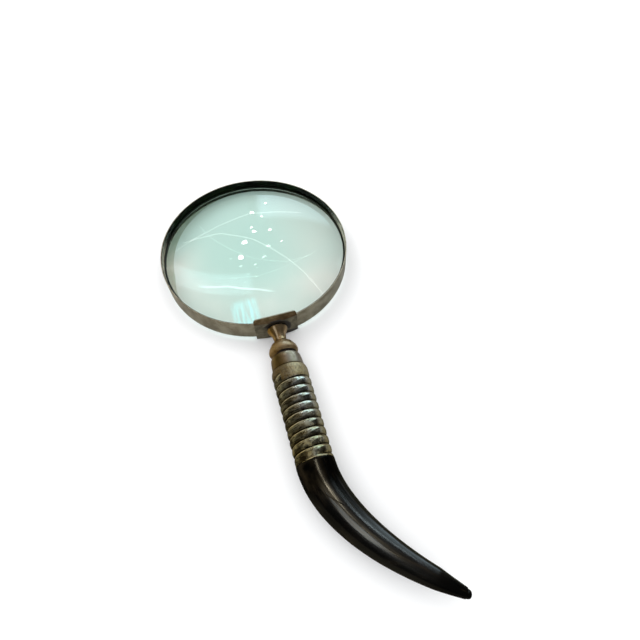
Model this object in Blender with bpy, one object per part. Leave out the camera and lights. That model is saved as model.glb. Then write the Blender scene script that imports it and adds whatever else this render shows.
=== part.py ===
"""Magnifying glass: a 4-inch lens in a brass rim, on a spiral brass sleeve with a curved horn grip.

Frame: the origin is on the handle's axis, in the face where the handle screws up to the head. +Z runs along
the optical axis, the handle along -Y, and the horn curves to +X. Every piece is drawn about the lens centre
and then carried there: "along" below is the distance from the lens centre down the handle's axis.
"""

import math

import bmesh
import bpy
from mathutils import Matrix, Vector

MM = 0.001
GAP = 0.1 * MM                      # clearance between neighbouring pieces

# rim and lens
BAND_OUTER_R = 52.0 * MM
BAND_WALL = 0.8 * MM
BAND_HALF_HEIGHT = 6.15 * MM
BAND_JOINT = 5.0 * MM               # opening between the strip's two ends, behind the saddle
LENS_R = 50.6 * MM
LENS_HALF_EDGE = 1.0 * MM
LENS_SAG = 4.75 * MM                # rise of each face above the ground edge
LENS_RINGS = 7
PACKING_WALL = 0.4 * MM
RING_WIDTH = 0.9 * MM
RING_THICKNESS = 0.8 * MM
RING_OPENING = 2.0 * MM             # split in each spring ring

# saddle
SADDLE_HALF_WIDTH = 11.2 * MM
SADDLE_WALL = 0.9 * MM
SADDLE_BACK = 48.7 * MM             # the lips end in a straight edge at this distance
SADDLE_CORNER_R = 1.6 * MM
SADDLE_ARC_STEPS = 14
SADDLE_CORNER_STEPS = 4

# stem and thread (a 1/4 inch, 20 per inch thread)
SPIGOT_R = 2.0 * MM
STEM_TOP = 53.1 * MM
STEM_PROFILE = (                    # trumpet, waist and bell flange: along and radius in mm
    (53.1, 5.0), (53.5, 5.3), (54.4, 5.15), (55.4, 4.5), (56.8, 3.75), (58.6, 3.3), (60.2, 3.2),
    (61.4, 3.75), (62.4, 4.9), (63.4, 5.95), (64.8, 6.9), (66.4, 7.4), (67.6, 7.35), (68.4, 6.8),
)
STEM_END = 68.9 * MM
STEM_END_R = 5.9 * MM
THREAD_R = 3.1 * MM
THREAD_BORE_R = 3.25 * MM
DRILL_POINT = 1.0 * MM              # cone at the bottom of the stem's bore
STUD_START = 63.6 * MM
STUD_END = 79.1 * MM
STUD_CHAMFER = 0.5 * MM
STUD_END_PLAY = 0.2 * MM
WASHER_START = 69.0 * MM
WASHER_THICKNESS = 0.6 * MM
WASHER_R = 5.6 * MM

# handle
CAP_START = 69.75 * MM
CAP_END = 77.3 * MM
CAP_WALL = 1.2 * MM
CAP_PROFILE = (                     # beyond CAP_START, and radius, in mm
    (0.0, 6.2), (0.25, 6.85), (0.9, 7.35), (1.9, 7.6), (4.4, 7.85), (7.4, 8.0),
)
CAP_END_R = 7.9 * MM
NECK_R = 6.2 * MM                   # sleeve's neck, inside the cap
BUSH_R = 5.1 * MM
BUSH_END = 86.2 * MM
SLEEVE_BORE_R = 7.0 * MM
SLEEVE_FLOOR = 1.2 * MM             # web between the sleeve's neck and its wide bore
SHOULDER_PROFILE = ((0.0, 8.1), (0.25, 8.4), (0.9, 8.75), (1.6, 8.9))
SLEEVE_SHOULDER_R = 9.0 * MM
SLEEVE_END_R = 8.8 * MM
SLEEVE_END = 124.6 * MM
SPIRAL_START = 81.6 * MM
SPIRAL_TURNS = 9.9
SPIRAL_PITCH = 4.25 * MM
SPIRAL_DEPTH = 0.95 * MM
SPIRAL_START_ANGLE = math.radians(123)
SPIRAL_RUN_OUT = 1 / 8              # turns in which the groove fades in and out
SPIRAL_ROWS = 66
PIN_ALONG = 80.9 * MM
PIN_R = 1.0 * MM
PIN_INNER = 5.6 * MM
PIN_OUTER = 8.85 * MM
PIN_TAPER = 0.8                     # inner end's radius over the outer end's
PIN_STEPS = 12
SLEEVE_HOLE_BOTTOM = 6.5 * MM
PLUG_HOLE_BOTTOM = 5.0 * MM
HOLE_MOUTH = 12.0 * MM              # any distance clear of the sleeve's skin
PLUG_STEP = 104.2 * MM
PLUG_END = 135.0 * MM
PLUG_PLAY = 0.2 * MM                # between the plug's nose and the horn's hollow
TENON_R = 6.85 * MM
HORN_START = SLEEVE_END + GAP
HORN_BORE_R = 5.05 * MM
HORN_BORE_MIDDLE = (HORN_START + 5.0 * MM, 4.4 * MM)
HORN_BORE_DEEP_R = 3.4 * MM
HORN_BORE_POINT = 1.5 * MM
HORN_BASE_R = 8.9 * MM
HORN_BASE_CHAMFER = 0.3 * MM
HORN_TIP_R = 3.0 * MM
HORN_TIP_ROUNDING = ((1.6, 1.0), (0.5, 0.8), (0.0, 0.45))   # mm from the end, share of the tip radius
HORN_TAPER_POWER = 1.4
HORN_SECTIONS = 18
HORN_SAMPLES = 400                  # straight steps that measure the centreline
HORN_CURVE = (                      # Bezier control points of the horn's centreline, in XY
    Vector((0.0, -124.7)) * MM,
    Vector((0.0, -148.5)) * MM,
    Vector((20.4, -171.9)) * MM,
    Vector((44.4, -190.6)) * MM,
)

RIM_STEPS = 72
TURN_STEPS = 24
FULL_TURN = 2 * math.pi
LENS_CENTRE = Vector((0.0, CAP_START, 0.0))
PIVOT_SIZE = 5.0 * MM


# ---------------------------------------------------------------- helpers

def clear_scene():
    for item in list(bpy.data.objects):
        bpy.data.objects.remove(item, do_unlink=True)


def material(name, colour, roughness, metallic, transmission=0.0):
    made = bpy.data.materials.new(name)
    made.use_nodes = True
    shader = made.node_tree.nodes["Principled BSDF"]
    shader.inputs["Base Color"].default_value = (*colour, 1.0)
    shader.inputs["Roughness"].default_value = roughness
    shader.inputs["Metallic"].default_value = metallic
    shader.inputs["Transmission Weight"].default_value = transmission
    return made


def add_object(name, bm, made_of, sharp_degrees=35):
    """Turn a bmesh into an object with outward faces and smooth shading."""
    bmesh.ops.remove_doubles(bm, verts=bm.verts, dist=1e-7)
    bmesh.ops.recalc_face_normals(bm, faces=bm.faces)
    mesh = bpy.data.meshes.new(name)
    bm.to_mesh(mesh)
    bm.free()
    mesh.shade_smooth()
    mesh.set_sharp_from_angle(angle=math.radians(sharp_degrees))
    mesh.materials.append(made_of)
    return place_object(name, mesh)


def place_object(name, mesh):
    """Link an object drawn about the lens centre, at the lens centre's place in the frame."""
    piece = bpy.data.objects.new(name, mesh)
    piece.location = LENS_CENTRE
    bpy.context.collection.objects.link(piece)
    return piece


def spin_profile(points, to_3d, axis, steps, angle=FULL_TURN, closed=False):
    """Spin a profile of (along, radius) points. An open spin is capped at both ends."""
    bm = bmesh.new()
    verts = [bm.verts.new(to_3d(along, radius)) for along, radius in points]
    edges = [bm.edges.new(pair) for pair in zip(verts, verts[1:])]
    if closed:
        edges.append(bm.edges.new((verts[-1], verts[0])))
    full = angle == FULL_TURN
    if not full:
        bm.faces.new(verts)
    result = bmesh.ops.spin(bm, geom=verts + edges, cent=(0, 0, 0), axis=axis, angle=angle,
                            steps=steps, use_merge=full)
    if not full:
        last = [item for item in result["geom_last"] if isinstance(item, bmesh.types.BMVert)]
        bmesh.ops.contextual_create(bm, geom=last)
    return bm


def turned(points, closed=False):
    """Spin a profile about the handle's axis, which runs along -Y."""
    return spin_profile(points, lambda along, radius: (radius, -along, 0.0), (0, -1, 0),
                        TURN_STEPS, closed=closed)


def rim_ring(inner_r, outer_r, low, high, opening=0.0):
    """A ring about the optical axis with a square section, split at the handle side if asked."""
    section = ((low, inner_r), (low, outer_r), (high, outer_r), (high, inner_r))
    half_gap = 0.5 * opening / outer_r
    turn = FULL_TURN - 2 * half_gap
    bm = spin_profile(section, lambda z, radius: (radius, 0.0, z), (0, 0, 1),
                      RIM_STEPS, angle=turn, closed=True)
    bmesh.ops.rotate(bm, verts=bm.verts, cent=(0, 0, 0),
                     matrix=Matrix.Rotation(half_gap - math.pi / 2, 3, "Z"))
    return bm


def cylinder_cutter(name, radius, start, end, steps):
    """A hidden cylinder from one point to another, for a Boolean modifier."""
    axis = Vector(end) - Vector(start)
    place = Matrix.Translation((Vector(start) + Vector(end)) / 2)
    place = place @ axis.to_track_quat("Z", "Y").to_matrix().to_4x4()
    bm = bmesh.new()
    bmesh.ops.create_cone(bm, cap_ends=True, segments=steps, radius1=radius, radius2=radius,
                          depth=axis.length, matrix=place)
    mesh = bpy.data.meshes.new(name)
    bm.to_mesh(mesh)
    bm.free()
    cutter = place_object(name, mesh)
    cutter.hide_render = True
    cutter.display_type = "WIRE"
    return cutter


def cut(piece, cutter):
    boolean = piece.modifiers.new("cut", "BOOLEAN")
    boolean.operation = "DIFFERENCE"
    boolean.solver = "EXACT"
    boolean.object = cutter


# ---------------------------------------------------------------- head

def make_rim_band(brass):
    bm = rim_ring(BAND_OUTER_R - BAND_WALL, BAND_OUTER_R, -BAND_HALF_HEIGHT, BAND_HALF_HEIGHT,
                  BAND_JOINT)
    return add_object("rim_band", bm, brass)


def make_lens(glass):
    """Double-convex glass with a flat ground edge."""
    sphere_r = (LENS_R ** 2 + LENS_SAG ** 2) / (2 * LENS_SAG)

    def height(radius):
        return LENS_HALF_EDGE + LENS_SAG - sphere_r + math.sqrt(sphere_r ** 2 - radius ** 2)

    radii = [LENS_R * math.sin(0.25 * FULL_TURN * i / LENS_RINGS) for i in range(LENS_RINGS + 1)]
    upper = [(height(radius), radius) for radius in radii]
    lower = [(-z, radius) for z, radius in reversed(upper)]
    bm = spin_profile(upper + lower, lambda z, radius: (radius, 0.0, z), (0, 0, 1), RIM_STEPS)
    return add_object("lens", bm, glass)


def make_lens_packing(card):
    inner_r = LENS_R + GAP
    bm = rim_ring(inner_r, inner_r + PACKING_WALL, -LENS_HALF_EDGE, LENS_HALF_EDGE)
    return add_object("lens_packing", bm, card)


def make_spring_ring(name, side, brass):
    """Split ring that holds the lens, above it (side 1) or below it (side -1)."""
    outer_r = BAND_OUTER_R - BAND_WALL - GAP
    near = side * (LENS_HALF_EDGE + GAP)
    far = near + side * RING_THICKNESS
    bm = rim_ring(outer_r - RING_WIDTH, outer_r, min(near, far), max(near, far), RING_OPENING)
    return add_object(name, bm, brass)


def saddle_outline():
    """Plan of the saddle: an arc in front, a straight back edge with rounded corners."""
    front_r = BAND_OUTER_R + GAP + SADDLE_WALL
    half_angle = math.asin(SADDLE_HALF_WIDTH / front_r)
    quarter = 0.25 * FULL_TURN
    points = []
    for i in range(SADDLE_ARC_STEPS + 1):
        angle = -half_angle + 2 * half_angle * i / SADDLE_ARC_STEPS
        points.append((front_r * math.sin(angle), -front_r * math.cos(angle)))
    for side in (1, -1):
        centre_x = side * (SADDLE_HALF_WIDTH - SADDLE_CORNER_R)
        centre_y = -SADDLE_BACK - SADDLE_CORNER_R
        for i in range(SADDLE_CORNER_STEPS + 1):
            turn = quarter * i / SADDLE_CORNER_STEPS
            angle = turn if side == 1 else quarter + turn
            points.append((centre_x + SADDLE_CORNER_R * math.cos(angle),
                           centre_y + SADDLE_CORNER_R * math.sin(angle)))
    return points


def make_saddle(brass):
    """Block in the saddle's plan, hollowed by the band's envelope and bored for the spigot."""
    half_height = BAND_HALF_HEIGHT + GAP + SADDLE_WALL
    bm = bmesh.new()
    base = bm.faces.new([bm.verts.new((x, y, -half_height)) for x, y in saddle_outline()])
    grown = bmesh.ops.extrude_face_region(bm, geom=[base])
    top = [item for item in grown["geom"] if isinstance(item, bmesh.types.BMVert)]
    bmesh.ops.translate(bm, verts=top, vec=(0, 0, 2 * half_height))
    saddle = add_object("saddle", bm, brass)
    slot = BAND_HALF_HEIGHT + GAP
    cut(saddle, cylinder_cutter("band_envelope", BAND_OUTER_R + GAP, (0, 0, -slot), (0, 0, slot),
                                2 * RIM_STEPS))
    cut(saddle, cylinder_cutter("spigot_hole", SPIGOT_R + GAP, (0, -SADDLE_BACK, 0),
                                (0, -STEM_END, 0), TURN_STEPS))
    return saddle


def make_stem(bronze):
    """Spigot, trumpet, waist and bell flange, with a blind bore for the stud."""
    spigot_start = BAND_OUTER_R - BAND_WALL + GAP
    bore_end = STUD_START - STUD_END_PLAY
    outline = [(spigot_start, 0.0), (spigot_start, SPIGOT_R), (STEM_TOP, SPIGOT_R)]
    outline += [(along * MM, radius * MM) for along, radius in STEM_PROFILE]
    outline += [(STEM_END, STEM_END_R), (STEM_END, THREAD_BORE_R), (bore_end, THREAD_BORE_R),
                (bore_end - DRILL_POINT, 0.0)]
    return add_object("stem", turned(outline), bronze)


def make_stem_stud(steel):
    end_r = THREAD_R - STUD_CHAMFER
    outline = [(STUD_START, 0.0), (STUD_START, end_r), (STUD_START + STUD_CHAMFER, THREAD_R),
               (STUD_END - STUD_CHAMFER, THREAD_R), (STUD_END, end_r), (STUD_END, 0.0)]
    return add_object("stem_stud", turned(outline), steel)


def make_joint_washer(leather):
    end = WASHER_START + WASHER_THICKNESS
    inner_r = THREAD_BORE_R + GAP
    outline = [(WASHER_START, inner_r), (WASHER_START, WASHER_R), (end, WASHER_R), (end, inner_r)]
    return add_object("joint_washer", turned(outline, closed=True), leather)


# ---------------------------------------------------------------- handle

def make_end_cap(brass):
    """Plain ring under the flange: a cup over the sleeve's neck."""
    floor = CAP_START + CAP_WALL
    hole_r = THREAD_BORE_R + GAP
    outline = [(CAP_START, hole_r)]
    outline += [(CAP_START + along * MM, radius * MM) for along, radius in CAP_PROFILE]
    outline += [(CAP_END, CAP_END_R), (CAP_END, NECK_R + GAP), (floor, NECK_R + GAP), (floor, hole_r)]
    return add_object("end_cap", turned(outline, closed=True), brass)


def make_threaded_bush(brass):
    start = CAP_START + CAP_WALL + GAP
    outline = [(start, THREAD_BORE_R), (start, BUSH_R), (BUSH_END, BUSH_R),
               (BUSH_END, THREAD_BORE_R)]
    return add_object("threaded_bush", turned(outline, closed=True), brass)


def spiral_groove(along, angle):
    """Depth of the spiral groove at a place on the sleeve; zero outside the groove's run."""
    turn_from_start = (angle - SPIRAL_START_ANGLE) / FULL_TURN
    turns = (along - SPIRAL_START) / SPIRAL_PITCH
    nearest = round(turns - turn_from_start) + turn_from_start
    if nearest < 0 or nearest > SPIRAL_TURNS:
        return 0.0
    across = turns - nearest
    run_out = min(1.0, nearest / SPIRAL_RUN_OUT, (SPIRAL_TURNS - nearest) / SPIRAL_RUN_OUT)
    return SPIRAL_DEPTH * run_out * math.cos(math.pi * across) ** 4


def make_spiral_sleeve(brass):
    """A plain turned sleeve whose outer skin is then pressed in along the spiral."""
    neck_start = CAP_START + CAP_WALL + GAP
    shoulder = CAP_END + GAP
    step = shoulder + SLEEVE_FLOOR
    outline = [(neck_start, BUSH_R + GAP), (neck_start, NECK_R), (shoulder, NECK_R)]
    outline += [(shoulder + along * MM, radius * MM) for along, radius in SHOULDER_PROFILE]
    first = SPIRAL_START - 0.5 * SPIRAL_PITCH
    for i in range(SPIRAL_ROWS + 1):
        share = i / SPIRAL_ROWS
        outline.append((first + share * (SLEEVE_END - first),
                        SLEEVE_SHOULDER_R + share * (SLEEVE_END_R - SLEEVE_SHOULDER_R)))
    outline += [(SLEEVE_END, SLEEVE_BORE_R), (step, SLEEVE_BORE_R), (step, BUSH_R + GAP)]
    bm = turned(outline, closed=True)
    for vert in bm.verts:
        along = -vert.co.y
        radius = math.hypot(vert.co.x, vert.co.z)
        if radius > SLEEVE_BORE_R + SPIRAL_DEPTH and along > first:
            depth = spiral_groove(along, math.atan2(vert.co.z, vert.co.x))
            vert.co.x *= 1 - depth / radius
            vert.co.z *= 1 - depth / radius
    sleeve = add_object("spiral_sleeve", bm, brass, sharp_degrees=60)
    cut(sleeve, pin_hole("sleeve_pin_hole", SLEEVE_HOLE_BOTTOM))
    return sleeve


def pin_hole(name, bottom):
    """Cutter for the pin's hole, from outside the sleeve in to a given distance from the axis."""
    mouth = (0, -PIN_ALONG, -HOLE_MOUTH)
    return cylinder_cutter(name, PIN_R + GAP, mouth, (0, -PIN_ALONG, -bottom), PIN_STEPS)


def make_sleeve_pin(brass):
    bm = bmesh.new()
    middle = Matrix.Translation((0, -PIN_ALONG, -(PIN_INNER + PIN_OUTER) / 2))
    bmesh.ops.create_cone(bm, cap_ends=True, segments=PIN_STEPS, radius1=PIN_R,
                          radius2=PIN_TAPER * PIN_R, depth=PIN_OUTER - PIN_INNER, matrix=middle)
    return add_object("sleeve_pin", bm, brass)


def horn_centreline():
    """Points on the horn's Bezier centreline, from its base to its tip."""
    a, b, c, d = HORN_CURVE
    shares = [i / HORN_SAMPLES for i in range(HORN_SAMPLES + 1)]
    return [(1 - t) ** 3 * a + 3 * (1 - t) ** 2 * t * b + 3 * (1 - t) * t * t * c + t ** 3 * d
            for t in shares]


def horn_length():
    points = horn_centreline()
    return sum((after - before).length for before, after in zip(points, points[1:]))


def horn_place(distance):
    """Point and heading on the horn's centreline, at a distance beyond its base."""
    points = horn_centreline()
    travelled = 0.0
    for before, after in zip(points, points[1:]):
        length = (after - before).length
        if travelled + length >= distance:
            return before.lerp(after, (distance - travelled) / length), (after - before).normalized()
        travelled += length
    return points[-1], (points[-1] - points[-2]).normalized()


def bend_to_horn(bm):
    """Carry everything beyond the horn's base from the straight axis onto the centreline."""
    stations = {}
    for vert in bm.verts:
        distance = -vert.co.y - HORN_START
        if distance <= GAP / 10:
            continue
        key = round(distance, 7)
        if key not in stations:
            stations[key] = horn_place(distance)
        point, heading = stations[key]
        across = Vector((-heading.y, heading.x))
        offset = vert.co.x
        vert.co.x = point.x + offset * across.x
        vert.co.y = point.y + offset * across.y


def make_core_plug(wood):
    """Wood plug: fills the sleeve round the bush, then the hollow base of the horn."""
    start = CAP_END + GAP + SLEEVE_FLOOR + GAP
    outer_r = SLEEVE_BORE_R - GAP
    nose_r = HORN_BORE_R - PLUG_PLAY
    middle, middle_r = HORN_BORE_MIDDLE
    outline = [(BUSH_END + GAP, 0.0), (BUSH_END + GAP, BUSH_R + GAP), (start, BUSH_R + GAP),
               (start, outer_r), (PLUG_STEP, outer_r), (PLUG_STEP, nose_r), (HORN_START, nose_r),
               (middle, middle_r - PLUG_PLAY), (PLUG_END, HORN_BORE_DEEP_R - PLUG_PLAY),
               (PLUG_END, 0.0)]
    bm = turned(outline)
    bend_to_horn(bm)
    plug = add_object("core_plug", bm, wood)
    cut(plug, pin_hole("plug_pin_hole", PLUG_HOLE_BOTTOM))
    return plug


def make_horn_grip(horn):
    """Horn, hollow at its base, turned down to a tenon inside the sleeve and bent to its curve."""
    length = horn_length()
    end = HORN_START + length
    outline = [(PLUG_END + HORN_BORE_POINT, 0.0), (PLUG_END, HORN_BORE_DEEP_R), HORN_BORE_MIDDLE,
               (HORN_START, HORN_BORE_R), (PLUG_STEP + GAP, HORN_BORE_R), (PLUG_STEP + GAP, TENON_R),
               (HORN_START, TENON_R), (HORN_START, HORN_BASE_R - HORN_BASE_CHAMFER)]
    last = length - HORN_TIP_ROUNDING[0][0] * MM
    for i in range(HORN_SECTIONS):
        distance = HORN_BASE_CHAMFER + (last - HORN_BASE_CHAMFER) * i / HORN_SECTIONS
        share = (distance / length) ** HORN_TAPER_POWER
        outline.append((HORN_START + distance, HORN_BASE_R + share * (HORN_TIP_R - HORN_BASE_R)))
    outline += [(end - back * MM, share * HORN_TIP_R) for back, share in HORN_TIP_ROUNDING]
    outline.append((end, 0.0))
    bm = turned(outline)
    bend_to_horn(bm)
    return add_object("horn_grip", bm, horn)


# ---------------------------------------------------------------- assembly

def gather(name, pieces):
    """Parent the pieces of one body to an empty at the origin, which lies on the joint's axis."""
    pivot = bpy.data.objects.new(name, None)
    bpy.context.collection.objects.link(pivot)
    pivot.empty_display_size = PIVOT_SIZE
    for piece in pieces:
        piece.parent = pivot


def main():
    clear_scene()
    rim_brass = material("rim_brass", (0.28, 0.25, 0.20), 0.42, 0.9)
    stem_bronze = material("stem_bronze", (0.45, 0.32, 0.17), 0.35, 0.95)
    sleeve_brass = material("sleeve_brass", (0.34, 0.30, 0.19), 0.38, 0.9)
    glass = material("lens_glass", (0.80, 0.95, 0.89), 0.02, 0.0, transmission=1.0)
    card = material("packing_card", (0.35, 0.30, 0.24), 0.9, 0.0)
    steel = material("stud_steel", (0.45, 0.45, 0.46), 0.35, 1.0)
    leather = material("washer_leather", (0.06, 0.04, 0.03), 0.8, 0.0)
    wood = material("plug_wood", (0.50, 0.36, 0.22), 0.75, 0.0)
    horn = material("horn_black", (0.02, 0.018, 0.015), 0.22, 0.0)

    gather("head_pivot", [
        make_rim_band(rim_brass),
        make_lens(glass),
        make_lens_packing(card),
        make_spring_ring("lens_retaining_ring", 1, rim_brass),
        make_spring_ring("lens_seat_ring", -1, rim_brass),
        make_saddle(rim_brass),
        make_stem(stem_bronze),
        make_stem_stud(steel),
    ])
    gather("washer_pivot", [make_joint_washer(leather)])
    gather("handle_pivot", [
        make_end_cap(sleeve_brass),
        make_threaded_bush(sleeve_brass),
        make_spiral_sleeve(sleeve_brass),
        make_sleeve_pin(stem_bronze),
        make_core_plug(wood),
        make_horn_grip(horn),
    ])


main()
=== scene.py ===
"""Looks of the magnifying glass: fine surfaces, patina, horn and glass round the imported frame.

Everything is in metres along the frame's own axes: +Z is the optical axis and the handle runs along -Y, on
the line x = z = 0. Meshes, and so their materials' coordinates, are counted from the lens centre. "Along"
means the distance from there down the handle's axis.
"""

import math

import bmesh
import bpy
import numpy as np
from mathutils import Matrix, Vector, noise


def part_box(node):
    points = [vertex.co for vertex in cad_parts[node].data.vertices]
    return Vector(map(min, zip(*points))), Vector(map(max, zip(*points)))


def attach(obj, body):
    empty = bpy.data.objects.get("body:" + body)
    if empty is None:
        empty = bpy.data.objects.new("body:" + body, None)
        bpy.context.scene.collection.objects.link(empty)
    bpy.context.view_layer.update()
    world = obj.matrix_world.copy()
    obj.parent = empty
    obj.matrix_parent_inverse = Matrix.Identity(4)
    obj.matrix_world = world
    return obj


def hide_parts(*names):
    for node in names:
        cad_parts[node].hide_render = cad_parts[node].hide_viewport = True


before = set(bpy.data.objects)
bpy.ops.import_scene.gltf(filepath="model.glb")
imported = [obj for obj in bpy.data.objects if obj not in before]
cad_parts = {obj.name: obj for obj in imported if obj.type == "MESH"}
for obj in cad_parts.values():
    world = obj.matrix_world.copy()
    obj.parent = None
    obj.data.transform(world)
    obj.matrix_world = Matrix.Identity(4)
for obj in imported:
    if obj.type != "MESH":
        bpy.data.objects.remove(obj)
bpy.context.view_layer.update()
MM = 0.001
TAU = 2 * math.pi


# ------------ sizes, mostly read from the frame

LENS_Y = sum(corner.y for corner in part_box("lens")) / 2
LENS_CENTRE = Vector((0.0, LENS_Y, 0.0))


def along_of(node):
    """A node's nearest and farthest distance from the lens centre down the handle's axis."""
    low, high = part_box(node)
    return LENS_Y - high.y, LENS_Y - low.y


BAND_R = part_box("rim_band")[1].x
BAND_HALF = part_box("rim_band")[1].z
BAND_WALL = 0.8 * MM
BAND_OPENING = 5.0 * MM
SPRING_WIDTH = 0.9 * MM
SPRING_OPENING = 2.0 * MM
RING_STEPS = 288
LENS_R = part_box("lens")[1].x
LENS_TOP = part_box("lens")[1].z
LENS_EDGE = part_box("lens_packing")[1].z
SADDLE_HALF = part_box("saddle")[1].x
SADDLE_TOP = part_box("saddle")[1].z
SADDLE_BACK, SADDLE_FRONT = along_of("saddle")
SADDLE_WALL = 0.9 * MM
STEM_START, STEM_END = along_of("stem")
STEM_WAIST = 60.0 * MM
FLANGE_START = 64.2 * MM
STUD_START, STUD_END = along_of("stem_stud")
STUD_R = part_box("stem_stud")[1].x
STUD_HOLE_R = 3.35 * MM    # through the washer and the cap
THREAD_PITCH = 1.27 * MM
THREAD_DEPTH = 0.62 * MM
CAP_START, CAP_END = along_of("end_cap")
SLEEVE_TOP, SLEEVE_END = along_of("spiral_sleeve")
SLEEVE_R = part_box("spiral_sleeve")[1].x
SLEEVE_R_LOW = 8.8 * MM
SLEEVE_LOW = 124 * MM    # where its wear and yellowing are greatest
SPIRAL_START = 81.6 * MM
SPIRAL_PITCH = 4.25 * MM
SPIRAL_TURNS = 9.9
SPIRAL_ANGLE = math.radians(123)
SPIRAL_DEPTH = 0.95 * MM
HORN_BASE = SLEEVE_END + 0.1 * MM
HORN_V = 60 * MM    # length of horn that one unit of its texture's v covers


# ------------ mesh helpers

def add(name, data):
    """A new object in the scene."""
    made = bpy.data.objects.new(name, data)
    bpy.context.scene.collection.objects.link(made)
    return made


def new_object(name, verts, faces, body, material, smooth_degrees=40):
    """A mesh object from points and faces, riding on a body."""
    mesh = bpy.data.meshes.new(name)
    mesh.from_pydata([tuple(v) for v in verts], [], faces)
    return finish_mesh(name, mesh, body, material, smooth_degrees)


def finish_mesh(name, mesh, body, material, smooth_degrees=40):
    """Clean and smooth a mesh made round the lens centre, and ride it on a body."""
    bm = bmesh.new()
    bm.from_mesh(mesh)
    bmesh.ops.remove_doubles(bm, verts=bm.verts, dist=1e-8)
    bmesh.ops.recalc_face_normals(bm, faces=bm.faces)
    bm.to_mesh(mesh)
    bm.free()
    mesh.shade_smooth()
    mesh.set_sharp_from_angle(angle=math.radians(smooth_degrees))
    mesh.materials.append(material)
    piece = add(name, mesh)
    piece.location = LENS_CENTRE
    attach(piece, body)
    return piece


def stands_for(node):
    """A piece takes a CAD node's place: the node is hidden."""
    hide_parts(node)


def smooth_curve(start, pairs, per_span=8):
    """Catmull-Rom points through (along, radius) pairs in mm, counted from start."""
    pts = [np.array((start + along * MM, radius * MM)) for along, radius in pairs]
    pts = [2 * pts[0] - pts[1]] + pts + [2 * pts[-1] - pts[-2]]
    out = []
    for i in range(1, len(pts) - 2):
        a, b, c, d = pts[i - 1:i + 3]
        for k in range(per_span):
            t = k / per_span
            out.append(0.5 * (2 * b + (c - a) * t + (2 * a - 5 * b + 4 * c - d) * t * t
                              + (3 * b - a - 3 * c + d) * t ** 3))
    out.append(pts[-2])
    return [tuple(p) for p in out]


def lathe(name, loops, body, material, steps=96, wobble=None, smooth_degrees=40, closed=True):
    """Turn (along, radius) points about the handle's axis. wobble(along, angle, radius) moves the skin.

    If closed, the last point meets the first. If not, both ends are filled."""
    verts = []
    for along, radius in loops:
        for k in range(steps):
            angle = TAU * k / steps
            r = radius + (wobble(along, angle, radius) if wobble else 0.0)
            verts.append((r * math.cos(angle), -along, r * math.sin(angle)))
    faces = grid_faces(len(loops), steps, True) if closed else tube_faces(len(loops), steps)
    return new_object(name, verts, faces, body, material, smooth_degrees)


def circle(x, y, z, radius, steps):
    """Points of a circle square to the optical axis."""
    angles = [TAU * k / steps for k in range(steps)]
    return [(x + radius * math.cos(angle), y + radius * math.sin(angle), z) for angle in angles]


def grid_faces(rows, steps, closed):
    """Quads between rows of points, and between the last row and the first if closed."""
    faces = []
    for i in range(rows if closed else rows - 1):
        faces += quads(i, (i + 1) % rows, steps)
    return faces


def quads(i, j, steps):
    """Quads from one row of points to another."""
    ends = [(k, (k + 1) % steps) for k in range(steps)]
    return [[i * steps + k, i * steps + n, j * steps + n, j * steps + k] for k, n in ends]


def end_face(row, steps):
    return [row * steps + k for k in range(steps)]


def tube_faces(rows, steps):
    """Quads between rows of points, and a face at each end."""
    return grid_faces(rows, steps, False) + [end_face(0, steps)[::-1], end_face(rows - 1, steps)]


def rounded_section(low, high, inner, outer, size):
    """Rectangular outline of (height, radius) points with its corners rounded by about size."""
    corners = [np.array(pair) for pair in ((low, inner), (low, outer), (high, outer), (high, inner))]
    steps = 4
    out = []
    for i, here in enumerate(corners):
        before = corners[i - 1] - here
        after = corners[(i + 1) % 4] - here
        start = here + before * min(0.45, size / np.linalg.norm(before))
        end = here + after * min(0.45, size / np.linalg.norm(after))
        for k in range(steps + 1):
            t = k / steps
            out.append(tuple((1 - t) ** 2 * start + 2 * (1 - t) * t * here + t * t * end))
    return out


# ------------ node helpers

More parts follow.
